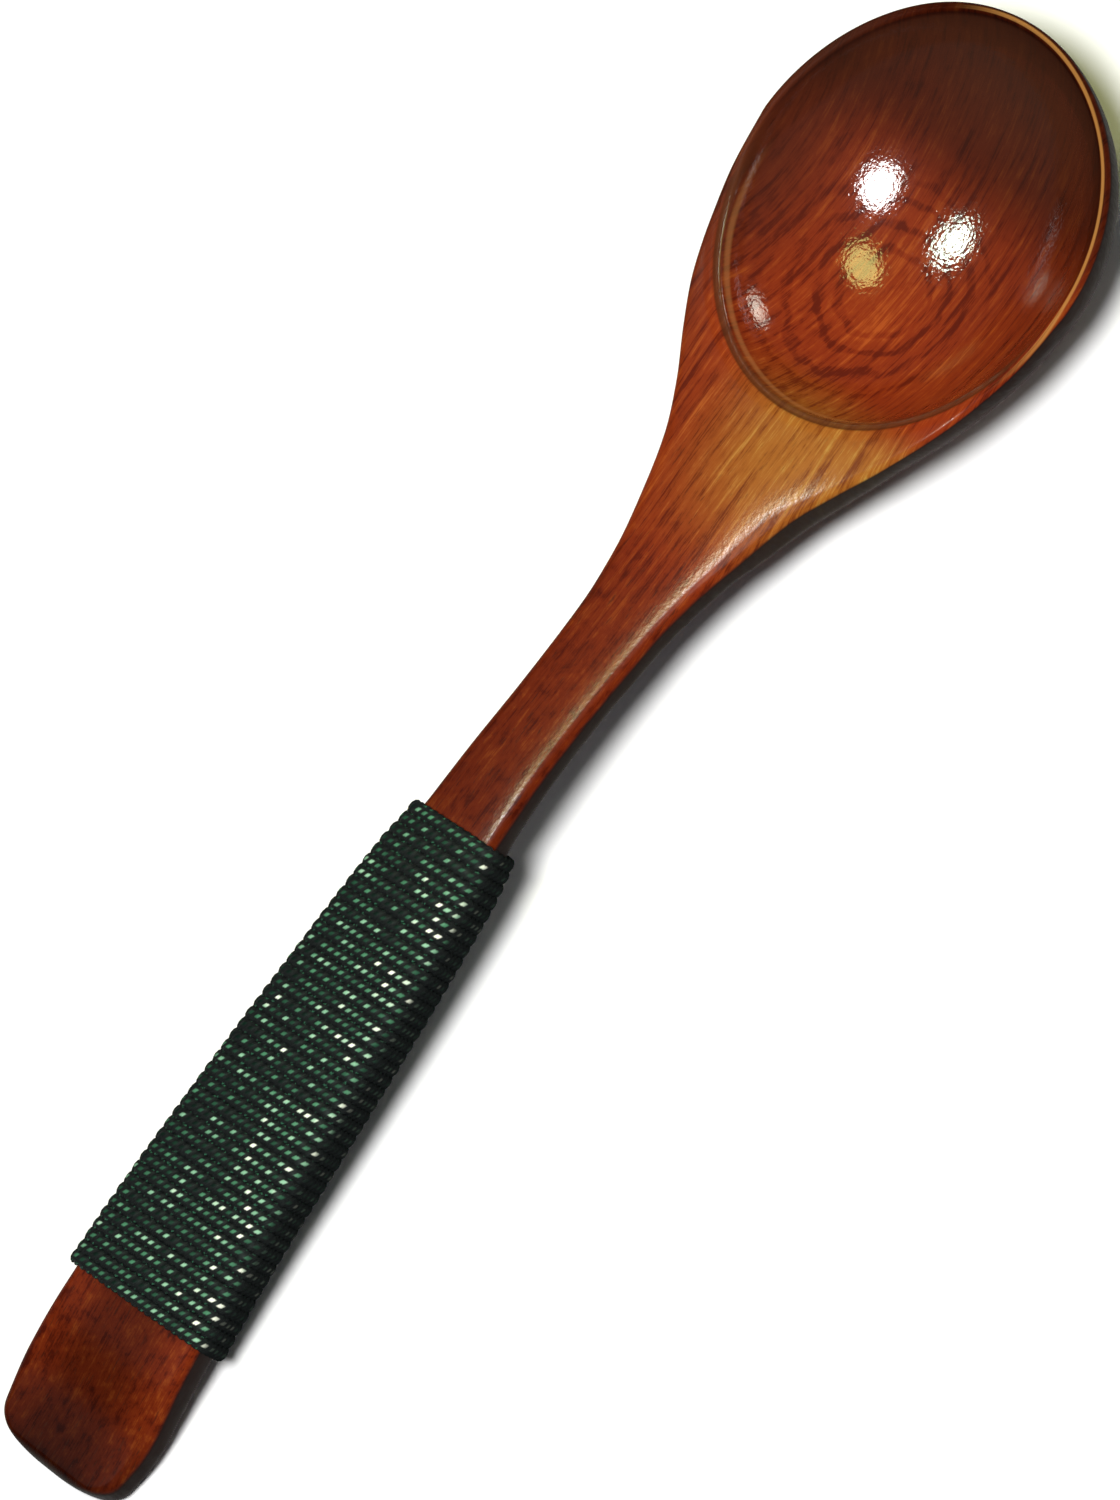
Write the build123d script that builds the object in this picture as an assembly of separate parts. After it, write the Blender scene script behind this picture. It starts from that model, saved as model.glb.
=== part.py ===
from build123d import *
import math
import os

os.makedirs("parts", exist_ok=True)

# A wooden spoon with a cord-wound handle, lying on its back. Millimetres.
# +X runs from the butt to the bowl's tip, +Z is up, and z = 0 is the surface it lies on.
# "Station" means the distance from the butt end, measured along X.

# ---- driving dimensions ----
LENGTH = 180.0
END_GAP = 0.02                  # the skin closes this far short of each end, on a tiny cap

# Bowl, in plan: an ellipse from its widest station to the tip.
BOWL_WIDTH = 42.6
WIDEST_STATION = 157.3
RIM_HEIGHT = 14.3               # rim above the table at the widest station
KEEL_STATION = 156.0            # where the underside is lowest
KEEL_SINK = 0.35                # the round underside would reach this far below the table: it is sanded flat
BUTT_STATION = 6.0              # where the rounded butt has turned into the handle
NECK_STATION = 95.0             # where the neck is narrowest
HEEL_STATION = 116.0            # where the underside of the bowl meets that of the neck
HEEL_CURVE = 1.6                # how the keel line climbs from the lowest point to the heel

# Hollow of the bowl.
HOLLOW_STATION = 156.0
HOLLOW_LENGTH = 46.2
HOLLOW_WIDTH = 40.9
HOLLOW_DEPTH = 11.5
HOLLOW_WALL_POWER = 2.2         # wall shape: depth x (1 - radius^power)^fullness
HOLLOW_WALL_FULLNESS = 0.7
HOLLOW_TILT = 2.5               # degrees: the rim rises a little towards the tip
HOLLOW_BRIM = 0.1               # the dish's own brim is this far above the rim, to cut it cleanly

# Half of the plan width, at stations from the butt to the widest part of the bowl.
HALF_WIDTHS = [
    (0.0, 7.9), (9.0, 9.3), (16.0, 9.0), (31.0, 8.15), (52.0, 7.1), (72.0, 5.8), (80.0, 4.9),
    (95.0, 4.55), (105.0, 4.8), (111.0, 5.55), (118.0, 7.25), (124.0, 9.05), (129.0, 11.5), (134.0, 14.4),
    (139.5, 17.15), (145.0, 19.1), (151.0, 20.6), (WIDEST_STATION, BOWL_WIDTH / 2),
]
# Height of the top face along the middle: a gentle arch that drops at the butt and lifts at the tip.
TOP_HEIGHTS = [
    (0.0, 4.4), (6.0, 5.4), (16.0, 8.4), (31.0, 11.05), (45.0, 12.4), (60.0, 13.6), (75.0, 14.8),
    (85.0, 15.1), (95.0, 14.5), (105.0, 13.8), (116.0, 13.5), (124.0, 13.7), (132.0, 13.45),
    (145.0, 13.6), (WIDEST_STATION, RIM_HEIGHT), (165.0, 14.55), (172.0, 15.05), (177.0, 15.75),
    (LENGTH, 16.2),
]
# Thickness from the butt to the heel of the bowl.
THICKNESSES = [
    (0.0, 4.9), (10.0, 5.3), (22.0, 5.8), (50.0, 6.2), (74.0, 6.1), (82.0, 5.0), (95.0, 4.8),
    (HEEL_STATION, 5.3),
]
TIP_THICKNESS = 1.3             # of the rim at the very tip
# The top face is crowned: it falls away to its edges by this share of the half width.
CROWNS = [
    (0.0, 0.04), (60.0, 0.05), (88.0, 0.15), (120.0, 0.16), (140.0, 0.0), (LENGTH, 0.0),
]
CROWN_LIMIT = 0.2               # and by no more than this share of the thickness
CROWN_POWER = 3

BUTT_ROUNDING_LENGTH = 3.5      # the butt's end, in plan, is a flat arc with tight corners
BUTT_ROUNDING_POWER = 2.6
BUTT_EDGE_LENGTH = 1.2          # and in side view it is rounded over this length

HANDLE_TOP_EDGE = 1.2           # radius of the handle's top edges
HANDLE_UNDER_EDGE = 2.0         # and of its lower edges
RIM_EDGE = 0.6                  # radius of the bowl's rim
UNDER_EDGE_SHARE = 0.92         # in the bowl the lower edges grow to this share of the half width
EDGE_CHANGE = (112.0, 138.0)    # stations between which handle edges turn into bowl edges
TOP_EDGE_LIMIT = 0.45           # a top edge is never rounded over more than this share of the section
UNDER_EDGE_LIMIT = 0.98         # and a lower edge takes at most this share of the height that is left

# Winding.
WINDING_START, WINDING_END = 18.7, 79.3
CORD_WIDTH, CORD_THICKNESS = 1.41, 1.0   # the cord lies flattened under its own tension
GLUE_THICKNESS = 0.15
GLUE_INSET = 1.4                # the glue stops this far inside each end of the winding
TAIL_WIDTH, TAIL_THICKNESS, TAIL_LENGTH = 1.8, 0.55, 16.0
TAIL_OFFSET = 1.6               # each tail lies this far to one side of the middle of the underside
TAIL_SINK = 0.05                # the tails are pressed this far into the glue

# ---- how finely the skins are drawn ----
BUTT_SPACING, HANDLE_SPACING, BOWL_SPACING, TAIL_SPACING = 1.3, 5.0, 3.5, 4.0   # between cross-sections
BUTT_SECTIONS, TIP_SECTIONS = 7, 12      # cross-sections that close each rounded end
FACE_POINTS, TOP_EDGE_POINTS, UNDER_EDGE_POINTS = 4, 5, 9    # points on half of one cross-section
HOLLOW_POINTS = 12
TRIMMING_DEPTH = 10.0           # of the block that takes off whatever is below the table


def smooth_through(knots, station):
    """The value at a station on the smooth curve through (station, value) knots, with no overshoot."""
    gaps = [b[0] - a[0] for a, b in zip(knots, knots[1:])]
    slopes = [(b[1] - a[1]) / gap for a, b, gap in zip(knots, knots[1:], gaps)]
    tangents = [slopes[0]]
    for before, after in zip(slopes, slopes[1:]):
        same_way = before * after > 0
        tangents.append(2 * before * after / (before + after) if same_way else 0.0)
    tangents.append(slopes[-1])
    i = max(k for k in range(len(gaps)) if k == 0 or station >= knots[k][0])
    u = (station - knots[i][0]) / gaps[i]
    return (
        knots[i][1] * (1 + 2 * u) * (1 - u) ** 2
        + tangents[i] * gaps[i] * u * (1 - u) ** 2
        + knots[i + 1][1] * u * u * (3 - 2 * u)
        + tangents[i + 1] * gaps[i] * u * u * (u - 1)
    )


def ease(low, high, station):
    """0 before low, 1 after high, and smooth between."""
    u = min(max((station - low) / (high - low), 0.0), 1.0)
    return u * u * (3 - 2 * u)


def round_end(distance, reach, power=2.0):
    """How much of the full size is left at a distance from a rounded end of this reach."""
    left = 1 - min(max(distance / reach, 0.0), 1.0)
    return (1 - left**power) ** (1 / power)


def half_width(station):
    if station >= WIDEST_STATION:
        return BOWL_WIDTH / 2 * round_end(LENGTH - station, LENGTH - WIDEST_STATION)
    return smooth_through(HALF_WIDTHS, station) * round_end(
        station, BUTT_ROUNDING_LENGTH, BUTT_ROUNDING_POWER
    )


def top_and_bottom(station):
    """Heights of the top face and of the underside along the middle."""
    top = smooth_through(TOP_HEIGHTS, station)
    if station <= HEEL_STATION:
        thickness = smooth_through(THICKNESSES, station)
        lost = thickness * (1 - round_end(station, BUTT_EDGE_LENGTH)) / 2
        return top - lost, top - thickness + lost
    heel = smooth_through(TOP_HEIGHTS, HEEL_STATION) - THICKNESSES[-1][1]
    if station <= KEEL_STATION:
        climb = ((KEEL_STATION - station) / (KEEL_STATION - HEEL_STATION)) ** HEEL_CURVE
        return top, -KEEL_SINK + (heel + KEEL_SINK) * climb
    depth = TIP_THICKNESS + (top + KEEL_SINK - TIP_THICKNESS) * round_end(
        LENGTH - station, LENGTH - KEEL_STATION
    )
    return top, top - depth


def section(station, grow=0.0):
    """The closed outline of the body at a station, moved outwards by grow."""
    half = half_width(station)
    top, bottom = top_and_bottom(station)
    into_bowl = ease(*EDGE_CHANGE, station)
    top_edge = HANDLE_TOP_EDGE + (RIM_EDGE - HANDLE_TOP_EDGE) * into_bowl
    top_edge = min(top_edge, TOP_EDGE_LIMIT * half, TOP_EDGE_LIMIT * (top - bottom))
    under_wide = HANDLE_UNDER_EDGE + (UNDER_EDGE_SHARE * half - HANDLE_UNDER_EDGE) * into_bowl
    under_wide = min(under_wide, UNDER_EDGE_SHARE * half)

    # the crowned face runs out to a place where the rounded edge takes over at the same slope
    crown = min(smooth_through(CROWNS, station) * half, CROWN_LIMIT * (top - bottom))
    slope = math.atan(CROWN_POWER * crown / half * (1 - top_edge / half) ** (CROWN_POWER - 1))
    face_end = half - top_edge * (1 - math.sin(slope))
    edge_middle = top - crown * (face_end / half) ** CROWN_POWER - top_edge * math.cos(slope)
    under_high = HANDLE_UNDER_EDGE + (edge_middle - bottom - HANDLE_UNDER_EDGE) * into_bowl
    under_high = min(under_high, UNDER_EDGE_LIMIT * (edge_middle - bottom))

    right_side = []
    for i in range(FACE_POINTS):
        y = face_end * i / FACE_POINTS
        right_side.append((y, top + grow - crown * (y / half) ** CROWN_POWER))
    for i in range(TOP_EDGE_POINTS):
        turn = slope + (math.pi / 2 - slope) * i / (TOP_EDGE_POINTS - 1)
        reach = top_edge + grow
        right_side.append((half - top_edge + reach * math.sin(turn), edge_middle + reach * math.cos(turn)))
    for i in range(UNDER_EDGE_POINTS):
        turn = math.pi / 2 * (i + 0.5) / (UNDER_EDGE_POINTS - 0.5)
        right_side.append(
            (
                half - under_wide + (under_wide + grow) * math.cos(turn),
                bottom + under_high - (under_high + grow) * math.sin(turn),
            )
        )
    right_side.append((0.0, bottom - grow))
    left_side = [(-y, z) for y, z in reversed(right_side[1:-1])]
    x = station - LENGTH / 2
    points = [Vector(x, -y, z) for y, z in right_side + left_side]
    return Face(Wire([Edge.make_spline(points, periodic=True)]))


def stations_between(low, high, spacing):
    count = max(1, round((high - low) / spacing))
    return [low + (high - low) * i / count for i in range(count + 1)]


def rounded_stations(end, inner, count):
    """Stations that crowd towards a rounded end, so that its curve is followed evenly."""
    return [end + (inner - end) * (1 - math.cos(math.pi / 2 * i / count)) for i in range(count + 1)]


def skin(stations, grow=0.0):
    return loft([section(station, grow) for station in stations])


# ---- spoon body: one lofted skin, the hollow cut out, and the resting spots sanded flat ----
def hollow():
    """The bowl's hollow as a turned dish, squeezed sideways and tilted with the rim."""
    wall = [(0.0, -HOLLOW_DEPTH)]
    for i in range(1, HOLLOW_POINTS + 1):
        radius = math.sin(math.pi / 2 * i / HOLLOW_POINTS)
        depth = HOLLOW_DEPTH * (1 - radius**HOLLOW_WALL_POWER) ** HOLLOW_WALL_FULLNESS
        wall.append((radius * HOLLOW_LENGTH / 2, -depth))
    above = RIM_HEIGHT
    profile = Wire(
        [
            Edge.make_spline([Vector(r, 0, z) for r, z in wall]),
            Edge.make_line((HOLLOW_LENGTH / 2, 0, 0), (HOLLOW_LENGTH / 2, 0, above)),
            Edge.make_line((HOLLOW_LENGTH / 2, 0, above), (0, 0, above)),
            Edge.make_line((0, 0, above), (0, 0, -HOLLOW_DEPTH)),
        ]
    )
    dish = revolve(Face(profile), Axis.Z)
    dish = scale(dish, by=(1, HOLLOW_WIDTH / HOLLOW_LENGTH, 1))
    dish = dish.rotate(Axis.Y, -HOLLOW_TILT)
    return dish.translate((HOLLOW_STATION - LENGTH / 2, 0, RIM_HEIGHT + HOLLOW_BRIM))


def spoon_body():
    handle = skin(
        rounded_stations(END_GAP, BUTT_ROUNDING_LENGTH, BUTT_SECTIONS)
        + stations_between(BUTT_ROUNDING_LENGTH, BUTT_STATION, BUTT_SPACING)[1:]
        + stations_between(BUTT_STATION, NECK_STATION, HANDLE_SPACING)[1:]
    )
    bowl = skin(
        stations_between(NECK_STATION, HEEL_STATION, BOWL_SPACING)
        + stations_between(HEEL_STATION, WIDEST_STATION, BOWL_SPACING)[1:]
        + list(reversed(rounded_stations(LENGTH - END_GAP, WIDEST_STATION, TIP_SECTIONS)))[1:]
    )
    under_all = (2 * LENGTH, 2 * BOWL_WIDTH, TRIMMING_DEPTH)
    below_table = Box(*under_all, align=(Align.CENTER, Align.CENTER, Align.MAX))
    return handle + bowl - hollow() - below_table


# ---- winding: the outer shape of all its turns, the glue under it and the two buried tails ----
def round_the_handle(low, high, grow):
    """A solid that follows the handle from one station to another, moved outwards by grow."""
    return skin(stations_between(low, high, HANDLE_SPACING), grow)


def tail(near, far, side):
    """The cord's buried end: a flattened strand along the underside, at one side of the middle."""
    slices = []
    for station in stations_between(near, far, TAIL_SPACING):
        under = top_and_bottom(station)[1] - GLUE_THICKNESS + TAIL_SINK
        middle = (station - LENGTH / 2, side * TAIL_OFFSET, under - TAIL_THICKNESS / 2)
        plane = Plane(origin=middle, x_dir=(0, 1, 0), z_dir=(1, 0, 0))
        slices.append(plane * Ellipse(TAIL_WIDTH / 2, TAIL_THICKNESS / 2))
    return loft(slices)


def winding_pieces(body):
    glue_fill = round_the_handle(WINDING_START + GLUE_INSET, WINDING_END - GLUE_INSET, GLUE_THICKNESS)
    cord_fill = round_the_handle(WINDING_START, WINDING_END, GLUE_THICKNESS + CORD_THICKNESS)
    tail_margin = CORD_WIDTH
    start = tail(WINDING_END - tail_margin - TAIL_LENGTH, WINDING_END - tail_margin, -1) - glue_fill
    finish = tail(WINDING_START + tail_margin, WINDING_START + tail_margin + TAIL_LENGTH, 1) - glue_fill
    return {
        "grip_winding": cord_fill - glue_fill - body - start - finish,
        "winding_start_tail": start,
        "winding_finish_tail": finish,
        "glue_coat": glue_fill - body,
    }


body = spoon_body()
for name, shape in {"spoon_body": body, **winding_pieces(body)}.items():
    export_step(shape, f"parts/{name}.step")
    print(name, round(shape.volume, 1), "mm3,", len(shape.solids()), "solid, valid:", shape.is_valid)
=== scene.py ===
import math
from collections import namedtuple

import bmesh
import bpy
import numpy as np
from mathutils import Matrix, Vector, noise


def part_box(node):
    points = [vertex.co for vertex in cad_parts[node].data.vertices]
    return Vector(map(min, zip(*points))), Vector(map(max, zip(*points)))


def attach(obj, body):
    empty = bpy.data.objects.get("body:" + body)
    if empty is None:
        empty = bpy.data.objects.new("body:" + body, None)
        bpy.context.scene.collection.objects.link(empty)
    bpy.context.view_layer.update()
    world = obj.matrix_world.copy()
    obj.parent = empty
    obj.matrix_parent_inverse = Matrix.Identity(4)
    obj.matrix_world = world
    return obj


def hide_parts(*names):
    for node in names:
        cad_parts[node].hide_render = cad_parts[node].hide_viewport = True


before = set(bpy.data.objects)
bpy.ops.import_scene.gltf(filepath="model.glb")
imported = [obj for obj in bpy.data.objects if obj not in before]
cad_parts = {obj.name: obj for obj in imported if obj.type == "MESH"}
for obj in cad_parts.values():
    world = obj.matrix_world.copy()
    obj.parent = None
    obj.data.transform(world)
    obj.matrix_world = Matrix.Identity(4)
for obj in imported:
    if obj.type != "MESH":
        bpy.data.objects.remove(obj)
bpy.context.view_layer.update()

# A lacquered wooden spoon with a cord-wound handle. Shapes are worked out in millimetres, and made in metres.
# "Station" is the distance from the butt end along X, and the spoon's middle is at X = 0.
MM = 0.001
TINY = 1e-6                     # keeps divisions clear of zero
QUARTER_TURN = math.pi / 2
BODY = "root"

# ---- sizes read from the frame ----
body_low, body_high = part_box("spoon_body")
winding_low, winding_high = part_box("grip_winding")
END_GAP = 0.02
LENGTH = (body_high.x - body_low.x) / MM + 2 * END_GAP
BOWL_WIDTH = (body_high.y - body_low.y) / MM
WINDING_START = winding_low.x / MM + LENGTH / 2
WINDING_END = winding_high.x / MM + LENGTH / 2

# ---- the carved body, as in the CAD model ----
WIDEST_STATION = 157.3
RIM_HEIGHT = 14.3
KEEL_STATION = 156.0
KEEL_SINK = 0.35
HEEL_STATION = 116.0
HEEL_CURVE = 1.6
HALF_WIDTHS = [
    (0.0, 7.9), (9.0, 9.3), (16.0, 9.0), (31.0, 8.15), (52.0, 7.1), (72.0, 5.8), (80.0, 4.9),
    (95.0, 4.55), (105.0, 4.8), (111.0, 5.55), (118.0, 7.25), (124.0, 9.05), (129.0, 11.5), (134.0, 14.4),
    (139.5, 17.15), (145.0, 19.1), (151.0, 20.6), (WIDEST_STATION, BOWL_WIDTH / 2),
]
TOP_HEIGHTS = [
    (0.0, 4.4), (6.0, 5.4), (16.0, 8.4), (31.0, 11.05), (45.0, 12.4), (60.0, 13.6), (75.0, 14.8),
    (85.0, 15.1), (95.0, 14.5), (105.0, 13.8), (116.0, 13.5), (124.0, 13.7), (132.0, 13.45), (145.0, 13.6),
    (WIDEST_STATION, RIM_HEIGHT), (165.0, 14.55), (172.0, 15.05), (177.0, 15.75), (LENGTH, 16.2),
]
THICKNESSES = [
    (0.0, 4.9), (10.0, 5.3), (22.0, 5.8), (50.0, 6.2), (74.0, 6.1), (82.0, 5.0), (95.0, 4.8),
    (HEEL_STATION, 5.3),
]
BUTT_ROUNDING_LENGTH, BUTT_ROUNDING_POWER = 3.5, 2.6
BUTT_EDGE_LENGTH = 1.2
HANDLE_TOP_EDGE, HANDLE_UNDER_EDGE, RIM_EDGE = 1.2, 2.0, 0.6
TIP_THICKNESS = 1.3
CROWNS = [(0.0, 0.04), (60.0, 0.05), (88.0, 0.15), (120.0, 0.16), (140.0, 0.0), (LENGTH, 0.0)]
CROWN_LIMIT, CROWN_POWER = 0.2, 3
TOP_EDGE_SHARE = 0.45           # most of the half width or thickness that the upper edge's rounding takes
UNDER_EDGE_SHARE = 0.92         # most of the half width that the lower edge's rounding takes
UNDER_HIGH_SHARE = 0.98         # and most of the height up to the upper edge
EDGE_CHANGE = (112.0, 138.0)    # stations over which the handle's edges turn into the bowl's

HOLLOW_STATION = KEEL_STATION
HOLLOW_LENGTH, HOLLOW_WIDTH, HOLLOW_DEPTH = 46.2, 40.9, 11.5
HOLLOW_WALL_POWER, HOLLOW_WALL_FULLNESS = 2.2, 0.7
HOLLOW_TILT = math.radians(2.5)
HOLLOW_BRIM = 0.1

# ---- the finer shape that only shows close up ----
STEP_DEPTH, STEP_RUN = 0.4, 0.35   # the small step cut along the handle's side of the hollow
SHELF_WIDTH = 0.95
STEP_ARC = (55.0, 105.0)        # degrees from the handle's direction over which the step fades out
EDGE_SOFTNESS = 0.28            # the hollow's edge is worn round over this much each way
EDGE_REACH = 1.1 * EDGE_SOFTNESS
EDGE_SAMPLES = 9
FLOOR_BLEND = 1.2               # the wear fades out this close to the hollow's middle
LAND_LIFT_POWER = 12            # how soon the hollow's wall leaves the crown of the wood round it
CARVING_WAVE = 0.04             # height of the faint unevenness left by hand finishing
CARVING_WAVE_SIZE = 9.0
CARVING_SEED = Vector((3.1, 7.7, 1.3))
RESTING_HEIGHT = 0.5            # below this the underside stays flat to rest on

# ---- mesh density ----
JUNCTION_STATION = 118.0        # handle rings up to here, and spokes round the bowl beyond
OUTLINE_STEPS = 130             # spokes on each side of the bowl
OUTLINE_SAMPLES = 2000
SETTLE_SPOKES = 8               # spokes over which the rim's direction turns from the handle's
TOP_STEPS, EDGE_STEPS, UNDER_CORNER_STEPS, UNDER_FLAT_STEPS = 20, 5, 8, 8
RING_SPACING, RING_CLEARANCE = 0.8, 0.4
BUTT_RINGS, LAND_RINGS, HOLLOW_RINGS, UNDER_RINGS = 30, 16, 43, 55
NEAR_EDGE_RINGS = [             # distances inside the hollow's edge, closest where it curves the most
    0.08, 0.16, 0.24, 0.32, 0.42, 0.54, 0.68, 0.82, 0.94, 1.04, 1.14, 1.26, 1.42, 1.65, 1.95, 2.35, 2.8,
]

# one section of the spoon: the upper edge has a radius, a place where it begins, its slope there and the
# height of its middle, and the lower edge's rounding has a width and a height
Section = namedtuple(
    "Section", "half top bottom top_edge face_end slope edge_middle crown under_wide under_high"
)


def smooth_through(knots, station):
    """The value at each station on the smooth curve through (station, value) knots, with no overshoot."""
    places, values = np.array(knots).T
    gaps = np.diff(places)
    slopes = np.diff(values) / gaps
    before, after = slopes[:-1], slopes[1:]
    same_way = before * after > 0
    inner = np.where(same_way, 2 * before * after / np.where(same_way, before + after, 1.0), 0.0)
    tangents = np.concatenate([slopes[:1], inner, slopes[-1:]])
    i = np.clip(np.searchsorted(places, station, side="right") - 1, 0, len(gaps) - 1)
    u = (station - places[i]) / gaps[i]
    return (
        values[i] * (1 + 2 * u) * (1 - u) ** 2
        + tangents[i] * gaps[i] * u * (1 - u) ** 2
        + values[i + 1] * u * u * (3 - 2 * u)
        + tangents[i + 1] * gaps[i] * u * u * (u - 1)
    )


def ease(low, high, value):
    """0 before low, 1 after high, and smooth between."""
    u = np.clip((value - low) / (high - low), 0.0, 1.0)
    return u * u * (3 - 2 * u)


def round_end(distance, reach, power=2.0):
    """How much of the full size is left at a distance from a rounded end of this reach."""
    left = 1 - np.clip(distance / reach, 0.0, 1.0)
    return (1 - left**power) ** (1 / power)


def half_width(station):
    towards_tip = BOWL_WIDTH / 2 * round_end(LENGTH - station, LENGTH - WIDEST_STATION)
    towards_butt = smooth_through(HALF_WIDTHS, np.minimum(station, WIDEST_STATION)) * round_end(
        station, BUTT_ROUNDING_LENGTH, BUTT_ROUNDING_POWER
    )
    return np.where(station >= WIDEST_STATION, towards_tip, towards_butt)


def middle_heights(station):
    """Heights of the top face and of the underside along the spoon's middle."""
    top = smooth_through(TOP_HEIGHTS, station)
    thickness = smooth_through(THICKNESSES, np.minimum(station, HEEL_STATION))
    lost = thickness * (1 - round_end(station, BUTT_EDGE_LENGTH)) / 2
    heel = smooth_through(TOP_HEIGHTS, HEEL_STATION) - THICKNESSES[-1][1]
    climb = np.clip((KEEL_STATION - station) / (KEEL_STATION - HEEL_STATION), 0.0, 1.0) ** HEEL_CURVE
    heel_side = -KEEL_SINK + (heel + KEEL_SINK) * climb
    tip_depth = TIP_THICKNESS + (top + KEEL_SINK - TIP_THICKNESS) * round_end(
        LENGTH - station, LENGTH - KEEL_STATION
    )
    bottom = np.where(
        station <= HEEL_STATION,
        top - thickness + lost,
        np.where(station <= KEEL_STATION, heel_side, top - tip_depth),
    )
    return np.where(station <= HEEL_STATION, top - lost, top), bottom


def section_sizes(station):
    half = half_width(station)
    top, bottom = middle_heights(station)
    into_bowl = ease(*EDGE_CHANGE, station)
    top_edge = HANDLE_TOP_EDGE + (RIM_EDGE - HANDLE_TOP_EDGE) * into_bowl
    top_edge = np.minimum(top_edge, TOP_EDGE_SHARE * np.minimum(half, top - bottom))
    top_edge = np.where(station > WIDEST_STATION, RIM_EDGE, top_edge)
    under_wide = HANDLE_UNDER_EDGE + (UNDER_EDGE_SHARE * half - HANDLE_UNDER_EDGE) * into_bowl
    under_wide = np.maximum(np.minimum(under_wide, UNDER_EDGE_SHARE * half), TINY)
    safe_half = np.maximum(half, TINY)
    crown = crown_height(station)
    inner = np.clip(1 - top_edge / safe_half, 0, 1)
    slope = np.arctan(CROWN_POWER * crown / safe_half * inner ** (CROWN_POWER - 1))
    face_end = half - top_edge * (1 - np.sin(slope))
    edge_fall = crown * np.clip(face_end / safe_half, 0, 1) ** CROWN_POWER
    edge_middle = top - edge_fall - top_edge * np.cos(slope)
    under_high = HANDLE_UNDER_EDGE + (edge_middle - bottom - HANDLE_UNDER_EDGE) * into_bowl
    under_high = np.maximum(np.minimum(under_high, UNDER_HIGH_SHARE * (edge_middle - bottom)), 0.0)
    return Section(half, top, bottom, top_edge, face_end, slope, edge_middle, crown, under_wide, under_high)


def crown_height(station):
    top, bottom = middle_heights(station)
    return np.minimum(smooth_through(CROWNS, station) * half_width(station), CROWN_LIMIT * (top - bottom))


def top_height(station, across):
    out = np.clip(np.abs(across) / np.maximum(half_width(station), TINY), 0, 1)
    return middle_heights(station)[0] - crown_height(station) * out**CROWN_POWER


def under_height(station, across):
    cut = section_sizes(station)
    past_flat = np.clip((np.abs(across) - (cut.half - cut.under_wide)) / cut.under_wide, 0.0, 1.0)
    return cut.bottom + cut.under_high * (1 - np.sqrt(1 - past_flat**2))


def in_place(station, across, height):
    """Points in metres in the spoon's frame."""
    station, across, height = np.broadcast_arrays(station, across, height)
    return np.stack([station - LENGTH / 2, across, height], axis=-1) * MM


# ---- mesh helpers ----
class Skin:
    """Gathers points and faces, row by row."""

    def __init__(self):
        self.points, self.faces, self.count = [], [], 0

    def add(self, points):
        points = np.asarray(points, float).reshape(-1, 3)
        first = self.count
        self.points.append(points)
        self.count += len(points)
        return np.arange(first, self.count)

    def strip(self, row, next_row, closed=False):
        last = len(row) if closed else len(row) - 1
        for i in range(last):
            j = (i + 1) % len(row)
            self.faces.append((int(row[i]), int(row[j]), int(next_row[j]), int(next_row[i])))

    def fan(self, row, centre):
        for i in range(len(row)):
            self.faces.append((int(row[i]), int(row[(i + 1) % len(row)]), int(centre)))

    def make(self, name):
        mesh = bpy.data.meshes.new(name)
        mesh.from_pydata(np.concatenate(self.points).tolist(), [], self.faces)
        builder = bmesh.new()
        builder.from_mesh(mesh)
        bmesh.ops.recalc_face_normals(builder, faces=builder.faces)
        builder.to_mesh(mesh)
        builder.free()
        mesh.polygons.foreach_set("use_smooth", [True] * len(mesh.polygons))
        piece = bpy.data.objects.new(name, mesh)
        bpy.context.scene.collection.objects.link(piece)
        return piece


# ---- the carved body ----
def handle_ring(station):
    """One closed ring round the handle: along the top from +Y to -Y, down, along the underside and up."""
    cut = Section(*(float(v) for v in section_sizes(station)))
    across = np.linspace(cut.face_end, -cut.face_end, TOP_STEPS + 1)
    face = list(zip(across, top_height(station, across)))
    edge_start, flat_end = cut.half - cut.top_edge, cut.half - cut.under_wide
    edge = [
        (edge_start + cut.top_edge * math.sin(a), cut.edge_middle + cut.top_edge * math.cos(a))
        for a in np.linspace(cut.slope, QUARTER_TURN, EDGE_STEPS + 1)[1:]
    ]
    corner = [
        (flat_end + cut.under_wide * math.cos(a), cut.bottom + cut.under_high * (1 - math.sin(a)))
        for a in np.linspace(0, QUARTER_TURN, UNDER_CORNER_STEPS + 1)
    ]
    flat = [(y, cut.bottom) for y in np.linspace(flat_end, -flat_end, UNDER_FLAT_STEPS + 1)[1:-1]]
    minus_side = [(-y, z) for y, z in edge + corner]
    plus_side = list(reversed(edge + corner))
    across, height = np.array(face + minus_side + [(-y, z) for y, z in flat] + plus_side).T
    return in_place(station, across, np.maximum(height, 0.0))


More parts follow.
